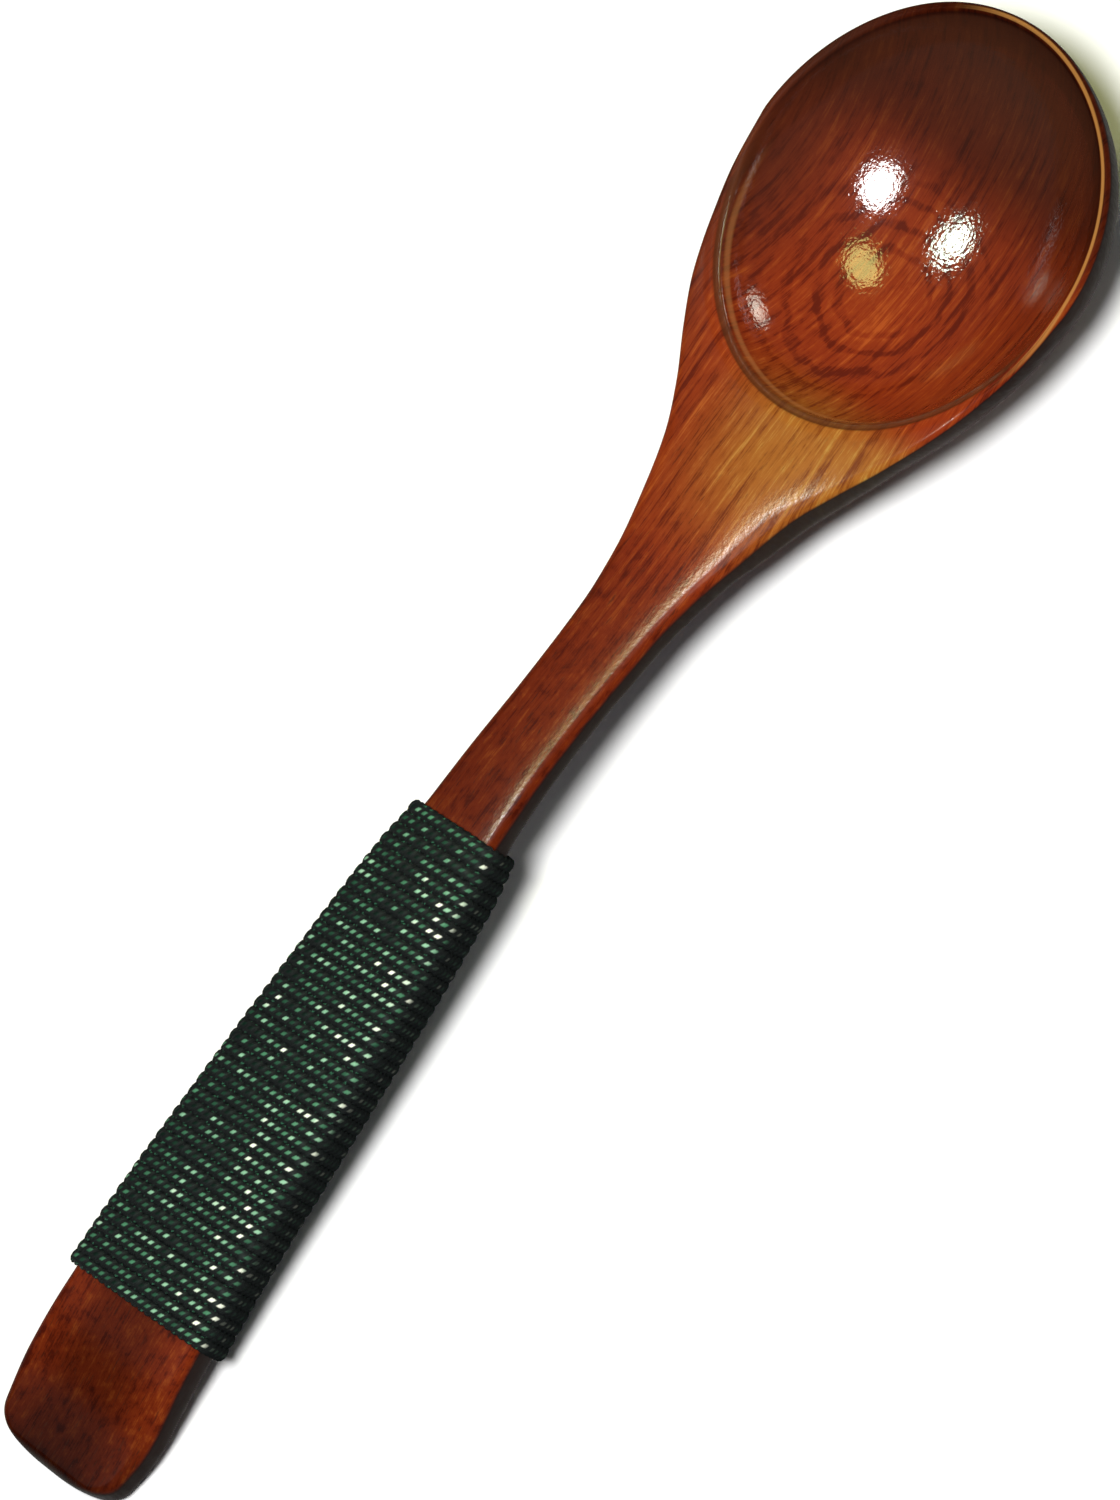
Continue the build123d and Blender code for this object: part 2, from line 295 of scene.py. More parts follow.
def outline():
    """Stations and offsets of the bowl's plan outline, and the outward direction at each.

    They run from the +Y junction round the tip to the -Y junction, evenly turned about the hollow's middle.
    """
    side = np.linspace(JUNCTION_STATION, WIDEST_STATION, OUTLINE_SAMPLES)[:-1]
    turn = np.linspace(QUARTER_TURN, 0, OUTLINE_SAMPLES)
    station = np.concatenate([side, WIDEST_STATION + (LENGTH - WIDEST_STATION) * np.cos(turn)])
    across = np.concatenate([half_width(side), BOWL_WIDTH / 2 * np.sin(turn)])
    angle = np.arctan2(across, station - HOLLOW_STATION)
    wanted = np.linspace(angle[0], 0.0, OUTLINE_STEPS + 1)
    station_side = np.interp(-wanted, -angle, station)
    across_side = np.interp(-wanted, -angle, across)
    station = np.concatenate([station_side, station_side[-2::-1]])
    across = np.concatenate([across_side, -across_side[-2::-1]])
    along = np.stack([np.gradient(station), np.gradient(across)], axis=-1)
    outward = np.stack([-along[:, 1], along[:, 0]], axis=-1)
    outward[0], outward[-1] = (0, 1), (0, -1)
    outward /= np.linalg.norm(outward, axis=1)[:, None]
    for k in range(1, SETTLE_SPOKES):
        share = k / SETTLE_SPOKES
        for place, end in ((k, 0), (-1 - k, -1)):
            mixed = outward[end] * (1 - share) + outward[place] * share
            outward[place] = mixed / np.linalg.norm(mixed)
    return station, across, outward


def hollow_reach(angle):
    """Distance from the hollow's middle to its edge, at each direction."""
    along = np.cos(angle) / (HOLLOW_LENGTH / 2)
    across = np.sin(angle) / (HOLLOW_WIDTH / 2)
    return 1 / np.sqrt(along**2 + across**2)


def hollow_drop(angle, inside):
    """Depth below the rim at a distance inside the hollow's edge, with the edge worn round."""
    reach = hollow_reach(angle)
    from_handle = np.degrees(np.abs(np.abs(angle) - math.pi))
    step = 1 - ease(*STEP_ARC, from_handle)

    def sharp(distance):
        distance = np.maximum(distance, 0.0)
        radius = np.clip((reach - distance) / (reach - SHELF_WIDTH * step), 0.0, 1.0)
        wall = (1 - radius**HOLLOW_WALL_POWER) ** HOLLOW_WALL_FULLNESS
        return STEP_DEPTH * step * ease(0, STEP_RUN, distance) + (HOLLOW_DEPTH - STEP_DEPTH * step) * wall

    offsets = EDGE_SOFTNESS * np.linspace(-1, 1, EDGE_SAMPLES)
    weights = 1 - np.abs(offsets) / EDGE_REACH
    soft = sum(w * sharp(np.minimum(inside + o, reach)) for o, w in zip(offsets, weights)) / weights.sum()
    worn = ease(0, FLOOR_BLEND, reach - inside)
    return soft * worn + sharp(inside) * (1 - worn)


def bowl_patch(skin, ring):
    """The bowl and the flare of the neck, on spokes from the hollow's middle, joined to the last ring."""
    station, across, outward = outline()
    cut = section_sizes(station)
    rim_columns = rim_rounding(skin, ring, station, across, outward, cut)
    bowl_top(skin, ring, rim_columns[-1], station, across, outward, cut)
    bowl_underside(skin, ring, rim_columns[0], station, across, cut)


def rim_rounding(skin, ring, station, across, outward, cut):
    """The rim's rounding, from its outermost line up and in to the flat."""
    minus_edge = ring[TOP_STEPS : TOP_STEPS + EDGE_STEPS + 1]
    plus_edge = np.concatenate([[ring[0]], ring[: -EDGE_STEPS - 1 : -1]])
    columns = []
    for j in range(EDGE_STEPS + 1):
        turn = QUARTER_TURN + (cut.slope - QUARTER_TURN) * j / EDGE_STEPS
        inset = cut.top_edge * (1 - np.sin(turn))
        height = cut.edge_middle + cut.top_edge * np.cos(turn)
        row = skin.add(
            in_place(station - inset * outward[:, 0], across - inset * outward[:, 1], height)[1:-1]
        )
        columns.append(np.concatenate([[plus_edge[EDGE_STEPS - j]], row, [minus_edge[EDGE_STEPS - j]]]))
    for outer, inner in zip(columns, columns[1:]):
        skin.strip(outer, inner)
    return columns


def bowl_top(skin, ring, rim_row, station, across, outward, cut):
    """The land, the hollow's edge and the hollow, ring by ring inwards."""
    inset = cut.top_edge * (1 - np.sin(cut.slope))
    inner_station = station - inset * outward[:, 0]
    inner_across = across - inset * outward[:, 1]
    face_edge = float(section_sizes(JUNCTION_STATION).face_end)
    row_across = np.linspace(-face_edge, face_edge, TOP_STEPS + 1)[1:-1]
    start_station = np.concatenate([inner_station, np.full(len(row_across), JUNCTION_STATION)])
    start_across = np.concatenate([inner_across, row_across])
    angle = np.arctan2(start_across, start_station - HOLLOW_STATION)
    reach = hollow_reach(angle)
    start_distance = np.hypot(start_station - HOLLOW_STATION, start_across)
    land = start_distance - reach - EDGE_REACH
    levels = [start_distance - land * share for share in np.linspace(0, 1, LAND_RINGS + 1)[1:]]
    levels += [reach + EDGE_REACH / 2, reach]
    levels += [reach - distance for distance in NEAR_EDGE_RINGS]
    inmost = reach - NEAR_EDGE_RINGS[-1]
    levels += [inmost * share for share in np.linspace(1, 0, HOLLOW_RINGS + 1)[1:-1]]
    edge_station = HOLLOW_STATION + reach * np.cos(angle)
    lift = top_height(edge_station, reach * np.sin(angle)) - rim_plane(edge_station)
    previous = np.concatenate([rim_row, ring[TOP_STEPS - 1 : 0 : -1]])
    for distance in levels:
        spot_station = HOLLOW_STATION + distance * np.cos(angle)
        spot_across = distance * np.sin(angle)
        inside = reach - distance
        hollow_base = rim_plane(spot_station) + lift * np.clip(distance / reach, 0, 1) ** LAND_LIFT_POWER
        base = np.where(inside > 0, hollow_base, top_height(spot_station, spot_across))
        row = skin.add(in_place(spot_station, spot_across, base - hollow_drop(angle, inside)))
        skin.strip(previous, row, closed=True)
        previous = row
    floor = skin.add(in_place(HOLLOW_STATION, 0.0, rim_plane(HOLLOW_STATION) - HOLLOW_DEPTH))
    skin.fan(previous, floor[0])


def bowl_underside(skin, ring, rim_row, station, across, cut):
    """A short upright wall under the rim, then rings in to the keel."""
    minus_wall, plus_wall = ring[TOP_STEPS + EDGE_STEPS + 1], ring[-EDGE_STEPS - 1]
    under_row = ring[TOP_STEPS + EDGE_STEPS + 2 : -EDGE_STEPS - 1]
    wall_foot = np.minimum(cut.bottom + cut.under_high, cut.edge_middle)
    wall = skin.add(in_place(station, across, wall_foot)[1:-1])
    wall = np.concatenate([[plus_wall], wall, [minus_wall]])
    skin.strip(rim_row, wall)
    under_points = np.concatenate(skin.points)[under_row] / MM
    start_station = np.concatenate([station, under_points[:, 0] + LENGTH / 2])
    start_across = np.concatenate([across, under_points[:, 1]])
    previous = np.concatenate([wall, under_row])
    for share in np.cos(np.linspace(0, QUARTER_TURN, UNDER_RINGS + 1)[1:-1]):
        spot_station = KEEL_STATION + (start_station - KEEL_STATION) * share
        spot_across = start_across * share
        height = np.maximum(under_height(spot_station, spot_across), 0.0)
        row = skin.add(in_place(spot_station, spot_across, height))
        skin.strip(previous, row, closed=True)
        previous = row
    keel = skin.add(in_place(KEEL_STATION, 0.0, 0.0))
    skin.fan(previous, keel[0])


def rim_plane(station):
    """Height of the tilted plane that the hollow's depth is measured from."""
    return RIM_HEIGHT + HOLLOW_BRIM + math.tan(HOLLOW_TILT) * (station - HOLLOW_STATION)


def uneven(piece):
    """Moves the skin in and out by the faint, slow unevenness of hand finishing."""
    mesh = piece.data
    size = CARVING_WAVE_SIZE * MM
    moved = []
    for vertex in mesh.vertices:
        spot = vertex.co
        wave = noise.noise(Vector((spot.x / (2 * size), spot.y / size, spot.z / size)) + CARVING_SEED)
        raised = 1.0 if spot.z > RESTING_HEIGHT * MM else 0.0
        moved.append(spot + vertex.normal * wave * CARVING_WAVE * MM * raised)
    mesh.vertices.foreach_set("co", np.array(moved).ravel())
    mesh.update()


def carved_body():
    skin = Skin()
    butt = END_GAP + BUTT_ROUNDING_LENGTH * (1 - np.cos(np.linspace(0, QUARTER_TURN, BUTT_RINGS)))
    along = np.arange(
        BUTT_ROUNDING_LENGTH + RING_CLEARANCE, JUNCTION_STATION - RING_CLEARANCE, RING_SPACING
    )
    stations = np.concatenate([butt, along, [JUNCTION_STATION]])
    rings = [skin.add(handle_ring(station)) for station in stations]
    for ring, next_ring in zip(rings, rings[1:]):
        skin.strip(ring, next_ring, closed=True)
    end_middle = np.concatenate(skin.points)[rings[0]].mean(axis=0)
    skin.fan(rings[0], skin.add(end_middle)[0])
    bowl_patch(skin, rings[-1])
    piece = skin.make("carved_spoon")
    uneven(piece)
    return piece


# ---- the cord: one twisted cord, its first end buried, its turns, and its last end buried ----
GLUE_THICKNESS = 0.15
CORD_WIDTH, CORD_THICKNESS = 1.41, 1.0
CORD_STEP = 0.24                # length of one mesh segment along the cord
STRANDS = 3
TWIST_LENGTH = 2.8              # one full turn of the strands round each other
TWIST_WANDER = 0.06             # turns by which the twist runs ahead or behind
TWIST_WANDER_SIZE = 14.0        # and the length of cord over which that comes and goes
STRAND_OFFSET, STRAND_RADIUS = 0.30, 0.70   # as shares of the cord's half width
SWELL, SWELL_SIZE = 0.05, 2.1   # the thread is a little thicker in places
SQUEEZE = 1.3                   # the cord is this much wider than its turns' spacing, so neighbours press in
AROUND = 12                     # mesh points round the cord
POINTS_A_TURN = 220             # route points in each turn round the handle
TAIL_WIDTH, TAIL_THICKNESS, TAIL_LENGTH = 1.8, 0.55, 16.0
TAIL_OFFSET = 1.6
TAIL_POINTS, BEND_POINTS = 60, 12
TAIL_BUMP_WIDTH = 1.15          # how wide the turns ride up over a buried end
TAIL_BUMP_SHARE = 0.85          # and how much of its thickness they rise by
TAIL_RISE = 1 / 6               # share of a buried end over which the turns climb on to it
TAIL_JOIN = 0.2                 # share of it over which it comes up to the winding
TAIL_FLATTENING = 0.3           # how late it goes from flat to round
BEND_RADIUS = 1.4
ROW_SLOPE = 0.025               # the turns lean a little across the handle
ROW_WANDER, ROW_WANDER_RATE = 0.07, 0.9     # and each wanders this far from its even place
ROUND_STEPS, FACE_STEPS = 8, 6  # outline points on each rounding, and on each half of the top face


def slow_noise(places, seed):
    """Smooth noise along a line, from -1 to 1."""
    return np.array([noise.noise(Vector((place, *seed))) for place in places])


def section_loop(station, grow):
    """Outlines of the handle at many stations, moved outwards, from the underside's middle by way of -Y."""
    cut = Section(*(v[:, None] for v in section_sizes(station)))
    turn = np.linspace(0, QUARTER_TURN, ROUND_STEPS)[None, :]
    under_across = cut.half - cut.under_wide + (cut.under_wide + grow) * np.sin(turn)
    under_up = cut.bottom + cut.under_high - (cut.under_high + grow) * np.cos(turn)
    turn = QUARTER_TURN + (cut.slope - QUARTER_TURN) * np.linspace(0, 1, ROUND_STEPS)[None, :]
    over_across = cut.half - cut.top_edge + (cut.top_edge + grow) * np.sin(turn)
    over_up = cut.edge_middle + (cut.top_edge + grow) * np.cos(turn)
    face_across = over_across[:, -1:] * np.linspace(1, 0, FACE_STEPS + 1)[None, 1:]
    face_up = cut.top + grow - cut.crown * (face_across / cut.half) ** CROWN_POWER
    across = np.concatenate([0 * cut.half, under_across, over_across, face_across], axis=1)
    height = np.concatenate([cut.bottom - grow, under_up, over_up, face_up], axis=1)
    across = np.concatenate([-across, across[:, -2::-1]], axis=1)
    height = np.concatenate([height, height[:, -2::-1]], axis=1)
    return across, height


def reached_along(across, height):
    """How far round each outline its points are."""
    steps = np.hypot(np.diff(across, axis=1), np.diff(height, axis=1))
    return np.concatenate([np.zeros((len(steps), 1)), np.cumsum(steps, axis=1)], axis=1)


def distance_round(station, grow):
    """The length of the handle's outline at one station, moved outwards."""
    return reached_along(*section_loop(np.array([station]), grow))[0, -1]


def along_loop(across, height, share):
    """For each outline, the side that a share of the way round it falls on, and how far along that side."""
    reached = reached_along(across, height)
    wanted = share * reached[:, -1]
    index = np.array([np.searchsorted(row, w, side="right") - 1 for row, w in zip(reached, wanted)])
    index = np.clip(index, 0, reached.shape[1] - 2)
    rows = np.arange(len(index))
    side = reached[rows, index + 1] - reached[rows, index]
    part = (wanted - reached[rows, index]) / np.maximum(side, TINY)
    return rows, index, part


def cord_route():
    """The cord's centreline and outward direction, point by point in millimetres, and how flat it lies."""
    grow = GLUE_THICKNESS + CORD_THICKNESS / 2
    high = WINDING_END - CORD_WIDTH / 2
    low = WINDING_START + CORD_WIDTH / 2
    turns = round((high - low) / CORD_WIDTH)
    first = (TAIL_OFFSET + BEND_RADIUS) / distance_round(high, grow)
    last = turns - (TAIL_OFFSET + BEND_RADIUS) / distance_round(low, grow)
    turn = np.linspace(first, last, int((last - first) * POINTS_A_TURN))
    station = high + (low - high) * (turn - first) / (last - first)
    wander = slow_noise(turn * ROW_WANDER_RATE, (4.2, 0.7))
    settled = ease(first, first + 1, turn) * (1 - ease(last - 1, last, turn))
    station = station + ROW_WANDER * wander * settled
    across, height = section_loop(station, grow)
    outer_across, outer_height = section_loop(station, grow + 1.0)
    rows, index, part = along_loop(across, height, turn % 1.0)

    def pick(values):
        return values[rows, index] * (1 - part) + values[rows, index + 1] * part

    y, z = pick(across), pick(height)
    out = np.stack([0 * y, pick(outer_across) - y, pick(outer_height) - z], axis=-1)
    station = station - ROW_SLOPE * y * settled
    lift = tail_lift(station, y, out[:, 2] < 0, high, low)
    out /= np.linalg.norm(out, axis=1)[:, None]
    wound = np.stack([station, y, z], axis=-1) + out * lift[:, None]

    start = buried_end(high, -1, wound[0])
    finish = buried_end(low, 1, wound[-1])[::-1]
    route = np.concatenate([start, wound, finish])
    down = np.array([0.0, 0.0, -1.0])
    outward = np.concatenate([np.tile(down, (len(start), 1)), out, np.tile(down, (len(finish), 1))])
    flattening = np.linspace(1, 0, len(start)) ** TAIL_FLATTENING
    unflattening = np.linspace(0, 1, len(finish)) ** TAIL_FLATTENING
    flat = np.concatenate([flattening, np.zeros(len(wound)), unflattening])
    return route, outward, flat


def tail_lift(station, y, underneath, high, low):
    """How far the turns ride up where they cross the two buried ends under the handle."""
    lift = 0 * y
    reach = TAIL_LENGTH + 1.0
    for middle, edge, inwards in ((-TAIL_OFFSET, high, -1), (TAIL_OFFSET, low, 1)):
        near_end = edge + inwards * CORD_WIDTH / 2
        far_end = edge + inwards * reach
        over = np.exp(-(((y - middle) / TAIL_BUMP_WIDTH) ** 2)) * underneath
        inside = ease(0, TAIL_RISE, (station - far_end) / (near_end - far_end))
        inside = inside * ease(0, 1.0, np.abs(station - edge))
        lift = lift + TAIL_BUMP_SHARE * TAIL_THICKNESS * over * inside
    return lift


def buried_end(edge, side, joins):
    """One tucked end, from its cut tip along the underside to where it turns into the winding."""
    along = np.linspace(edge + side * (BEND_RADIUS + TAIL_LENGTH), edge + side * BEND_RADIUS, TAIL_POINTS)
    straight = np.stack([along, np.full(TAIL_POINTS, side * TAIL_OFFSET)], axis=-1)
    turn = np.linspace(0, QUARTER_TURN, BEND_POINTS + 2)[1:-1]
    centre = np.array([edge + side * BEND_RADIUS, side * (TAIL_OFFSET + BEND_RADIUS)])
    bend = np.stack(
        [centre[0] - side * BEND_RADIUS * np.sin(turn), centre[1] - side * BEND_RADIUS * np.cos(turn)],
        axis=-1,
    )
    plan = np.concatenate([straight, bend])
    height = middle_heights(plan[:, 0])[1] - GLUE_THICKNESS - TAIL_THICKNESS / 2
    blend_in = ease(1 - TAIL_JOIN, 1, np.linspace(0, 1, len(plan)))
    height = height + (joins[2] - height) * blend_in
    return np.column_stack([plan, height])


def strand_outline(twist):
    """The cord's cross-section at each twist: points across it and up, as shares of its half sizes."""
    place = np.arange(AROUND) / AROUND
    half_strand = 0.5 / STRANDS
    off_strand = 2 * math.pi * ((place + half_strand) % (1 / STRANDS) - half_strand)
    bulge = STRAND_OFFSET * np.cos(off_strand) + np.sqrt(
        STRAND_RADIUS**2 - (STRAND_OFFSET * np.sin(off_strand)) ** 2
    )
    angle = 2 * math.pi * (place[None, :] + twist[:, None])
    return bulge[None, :] * np.cos(angle), bulge[None, :] * np.sin(angle)


def twisted_cord():
    route, outward, flat = cord_route()
    steps = np.linalg.norm(np.diff(route, axis=0), axis=1)
    reached = np.concatenate([[0.0], np.cumsum(steps)])
    length = reached[-1]
    wanted = np.linspace(0, length, int(length / CORD_STEP))
    centre = np.stack([np.interp(wanted, reached, route[:, i]) for i in range(3)], axis=-1)
    out = np.stack([np.interp(wanted, reached, outward[:, i]) for i in range(3)], axis=-1)
    flatness = np.interp(wanted, reached, flat)
    ahead = np.gradient(centre, axis=0)
    ahead /= np.linalg.norm(ahead, axis=1)[:, None]
    side = np.cross(ahead, out)
    side /= np.linalg.norm(side, axis=1)[:, None]
    out = np.cross(side, ahead)
    half_wide = (SQUEEZE * CORD_WIDTH + (TAIL_WIDTH - SQUEEZE * CORD_WIDTH) * flatness) / 2
    half_thick = (CORD_THICKNESS + (TAIL_THICKNESS - CORD_THICKNESS) * flatness) / 2

    twist = wanted / TWIST_LENGTH + TWIST_WANDER * slow_noise(wanted / TWIST_WANDER_SIZE, (9.1, 2.4))
    swell = 1 + SWELL * slow_noise(wanted / SWELL_SIZE, (5.5, 8.8))
    strand_across, strand_up = strand_outline(twist)
    sideways = ((half_wide * swell)[:, None] * strand_across)[..., None]
    outwards = ((half_thick * swell)[:, None] * strand_up)[..., None]
    points = centre[:, None, :] + sideways * side[:, None, :] + outwards * out[:, None, :]

    skin = Skin()
    rows = [skin.add(in_place(p[:, 0], p[:, 1], p[:, 2])) for p in points]
    for row, next_row in zip(rows, rows[1:]):
        skin.strip(row, next_row, closed=True)
    for row, spot in ((rows[0], centre[0]), (rows[-1], centre[-1])):
        skin.fan(row, skin.add(in_place(*spot))[0])
    piece = skin.make("cord_winding")
    add_strand_map(piece, twist)
    add_facing(piece, out[:, 2])
    return piece, length


def add_strand_map(piece, twist):
    """A UV map with the strands' twist, in turns, along the cord, and the share of the way round it."""
    mesh = piece.data
    layer = mesh.uv_layers.new(name="strand")
    vertex = np.zeros(len(mesh.loops), int)
    mesh.loops.foreach_get("vertex_index", vertex)
    ring = np.minimum(vertex // AROUND, len(twist) - 1)
    around = (vertex % AROUND) / AROUND
    sides = around[: 4 * (len(twist) - 1) * AROUND].reshape(-1, 4)
    crosses_seam = sides.max(axis=1) > 1 - 1.5 / AROUND
    sides[crosses_seam[:, None] & (sides == 0)] = 1.0
    layer.data.foreach_set("uv", np.stack([twist[ring], around], axis=-1).ravel())


def add_facing(piece, upward):
    """How far the grip's surface faces up under each bit of the cord, from 0 at its sides to 1 on top."""
    mesh = piece.data
    facing = mesh.attributes.new(name="facing", type="FLOAT", domain="POINT")
    ring = np.minimum(np.arange(len(mesh.vertices)) // AROUND, len(upward) - 1)
    facing.data.foreach_set("value", np.clip(upward[ring], 0, 1))


# ---- materials ----
# ramps are (place, colour) stops; ranges along the spoon are X in millimetres
RED_WOOD = [(0.34, (0.13, 0.013, 0.004)), (0.52, (0.29, 0.034, 0.007)), (0.72, (0.46, 0.085, 0.014))]
GOLD_WOOD = [(0.32, (0.20, 0.045, 0.008)), (0.50, (0.40, 0.135, 0.020)), (0.70, (0.54, 0.29, 0.06))]
TONE_AND_SHADE_ALONG = [                 # how much of the wood's colour comes through, from butt to tip: darker towards the butt, brightest on the neck where it is partly painted light, and painted shade round the bowl's tip
    (0.0, 0.04), (0.015, 0.13), (0.06, 0.24), (0.11, 0.30), (0.45, 0.30), (0.58, 0.38),
    (0.68, 0.64), (0.79, 0.66), (0.87, 0.52), (0.93, 0.17), (1.0, 0.10),
]
# painted shade: on the bowl's far side, towards the hollow's tip, in the step by the handle, and on the sides
# and underside
FAR_SIDE_SHADE = (0.035, 0.012, 0.007)
TIP_SHADE = (0.055, 0.022, 0.012)
STEP_SHADE = (0.06, 0.018, 0.007)
SIDE_SHADE = (0.006, 0.003, 0.003)
PORE_COLOUR = (0.025, 0.008, 0.004)
RIDGE_COLOUR = (0.45, 0.20, 0.07)
# partly wear and partly a painted highlight on the rim
WORN_AND_LIT_RIM_COLOUR = (0.42, 0.19, 0.05)
THREAD = [(0.3, (0.0060, 0.0064, 0.0072)), (0.7, (0.012, 0.0145, 0.0145))]
# painted highlight colours for the strands' crests, from dark green to near white
THREAD_GLINTS = [
    (0.10, (0.003, 0.010, 0.007)), (0.32, (0.016, 0.065, 0.036)), (0.56, (0.06, 0.20, 0.11)),
    (0.78, (0.25, 0.48, 0.32)), (0.97, (0.95, 1.0, 0.85)),
]
# a fainter painted highlight on the strands' flanks
FLANK_GLINT = (0.035, 0.13, 0.075)
THREAD_SHEEN = (0.75, 1.0, 0.9, 1)
FIBRE_STRETCH = (14.0, 24.0, 1.0)   # fibres in each turn of the twist, and round the cord
GLUE = [(0.3, (0.035, 0.010, 0.004)), (0.7, (0.10, 0.03, 0.01))]
FLOOR = [(0.3, (0.86, 0.86, 0.86)), (0.7, (0.88, 0.88, 0.875))]

BOWL_START, GRIP_START = (28, 46), (-40, -68)
FLARE_START, FLARE_END = (22, 40), (50, 42)     # the paler, golden wood in the neck's flare, partly the wood's own tone and partly painted light from the lamps above the neck
RING_MIDDLE = (59.0, 2.7)       # where the growth rings centre on the hollow's floor, in X and Y
RING_SQUASH = 0.95              # the rings are longer along X than across it
RING_FIRST, RING_GAP = 6.8, 2.4
RING_DRIFT = 5.0                # how far the rings wander from true ovals
LACQUER_IOR = 1.45

# where a point of the wood is: along and across the spoon, how it faces, and how far out it is in the hollow
# (0 at its middle and 1 at its edge); the last three are shares from 0 to 1
Places = namedtuple("Places", "x y upward steepness from_middle out faces_up in_hollow in_bowl on_grip")


class Nodes:
    """Short calls for the few kinds of node that the materials use."""

    def __init__(self, name):
        self.material = bpy.data.materials.new(name)
        self.material.use_nodes = True
        self.tree = self.material.node_tree
        self.tree.nodes.clear()
        self.shader = self.node("BsdfPrincipled")
        self.join(self.shader.outputs["BSDF"], self.node("OutputMaterial").inputs["Surface"])

    def node(self, kind, **numbers):
        """A new node, with some of its inputs set."""
        node = self.tree.nodes.new("ShaderNode" + kind)
        for name, number in numbers.items():
            node.inputs[name.replace("_", " ")].default_value = number
        return node

    def join(self, source, target):
        self.tree.links.new(source, target)

    def feed(self, name, source):
        """Joins a value to one of the shader's inputs."""
        self.join(source, self.shader.inputs[name])

    def place(self, scale, turn=(0, 0, 0), shift=(0, 0, 0)):
        """Object coordinates in millimetres, stretched by scale."""
        mapping = self.node("Mapping", Scale=[s / MM for s in scale], Rotation=turn, Location=shift)
        self.join(self.node("TexCoord").outputs["Object"], mapping.inputs["Vector"])
        return mapping.outputs["Vector"]

    def normal(self):
        """Which way the surface faces, in the piece's own frame."""
        return self.node("TexCoord").outputs["Normal"]

    def noise(self, vector, detail=4.0, rough=0.55, distortion=0.0):
        node = self.node("TexNoise", Scale=1.0, Detail=detail, Roughness=rough, Distortion=distortion)
        self.join(vector, node.inputs["Vector"])
        return node.outputs["Fac"]

    def luck(self, number):
        """A different value from 0 to 1 for each whole number."""
        node = self.node("TexWhiteNoise")
        node.noise_dimensions = "1D"
        self.join(number, node.inputs["W"])
        return node.outputs["Value"]

    def math(self, kind, *values):
        node = self.node("Math")
        node.operation = kind
        for socket, value in zip(node.inputs, values):
            if isinstance(value, (int, float)):
                socket.default_value = value
            else:
                self.join(value, socket)
        return node.outputs[0]

    def times(self, product, *others):
        for other in others:
            product = self.math("MULTIPLY", product, other)
        return product

    def plus(self, first, second):
        return self.math("ADD", first, second)

    def minus(self, first, second):
        return self.math("SUBTRACT", first, second)

    def length(self, along, across):
        """Distance from the middle of a flat pair of coordinates."""
        return self.math("SQRT", self.plus(self.math("POWER", along, 2.0), self.math("POWER", across, 2.0)))

    def span(self, value, low, high, to_low=0.0, to_high=1.0):
        """Goes smoothly from to_low to to_high as the value goes from low to high."""
        node = self.node("MapRange", From_Min=low, From_Max=high, To_Min=to_low, To_Max=to_high)
        node.interpolation_type = "SMOOTHSTEP"
        self.join(value, node.inputs["Value"])
        return node.outputs["Result"]

    def band(self, value, rise, fall):
        """1 between a rise and a fall, and 0 outside them."""
        return self.times(self.span(value, *rise), self.span(value, fall[1], fall[0]))

    def outside(self, share):
        """1 where a share is 0, and the other way round."""
        return self.span(share, 0.0, 1.0, 1.0, 0.0)

    def ramp(self, value, stops):
        node = self.node("ValToRGB")
        node.color_ramp.interpolation = "EASE"
        elements = node.color_ramp.elements
        while len(elements) < len(stops):
            elements.new(0.5)
        for element, (place, colour) in zip(elements, stops):
            element.position = place
            element.color = (*colour, 1)
        self.join(value, node.inputs["Fac"])
        return node.outputs["Color"]

    def mix(self, share, first, second, kind="MIX"):
        node = self.node("Mix")
        node.data_type = "RGBA"
        node.blend_type = kind
        for name, value in (("Factor", share), ("A", first), ("B", second)):
            socket = node.inputs[name]
            if isinstance(value, (int, float)):
                socket.default_value = value
            elif isinstance(value, tuple):
                socket.default_value = (*value, 1)
            else:
                self.join(value, socket)
        # a Mix node keeps one output for every data type, and the colour's is the third
        return node.outputs[2]

    def bump(self, height, distance_mm, strength=1.0):
        node = self.node("Bump", Strength=strength, Distance=distance_mm * MM)
        self.join(height, node.inputs["Height"])
        return node.outputs["Normal"]

    def split(self, vector):
        node = self.node("SeparateXYZ")
        self.join(vector, node.inputs["Vector"])
        return node.outputs["X"], node.outputs["Y"], node.outputs["Z"]


def wood_places(n):
    x, y, _ = n.split(n.place((1, 1, 1)))
    _, _, upward = n.split(n.normal())
    from_middle = n.minus(x, HOLLOW_STATION - LENGTH / 2)
    along_share = n.math("DIVIDE", from_middle, HOLLOW_LENGTH / 2)
    across_share = n.math("DIVIDE", y, HOLLOW_WIDTH / 2)
    out = n.length(along_share, across_share)
    faces_up = n.span(upward, 0.05, 0.2)
    return Places(
        x, y, upward, n.math("ABSOLUTE", upward), from_middle, out, faces_up,
        in_hollow=n.times(n.span(out, 1.0, 0.985), faces_up),
        in_bowl=n.span(x, *BOWL_START),
        on_grip=n.span(x, *GRIP_START),
    )


def growth_rings(n, at):
    """Growth rings, cut to ovals about one spot on the hollow's floor: a pale core, and dark lines."""
    along = n.times(n.minus(at.x, RING_MIDDLE[0]), RING_SQUASH)
    across = n.minus(at.y, RING_MIDDLE[1])
    drift = n.noise(n.place((0.12, 0.16, 0.16)), detail=3)
    ring_out = n.plus(n.length(along, across), n.times(n.minus(drift, 0.5), RING_DRIFT))
    wave = n.math("COSINE", n.times(n.minus(ring_out, RING_FIRST), 2 * math.pi / RING_GAP))
    lines = n.times(n.span(wave, 0.1, 1.0), n.span(ring_out, 2.5, 5.0), n.span(ring_out, 16, 7))
    core = n.span(ring_out, 6.5, 5.0)
    return n.times(n.minus(n.times(core, 0.5), lines), at.in_hollow)


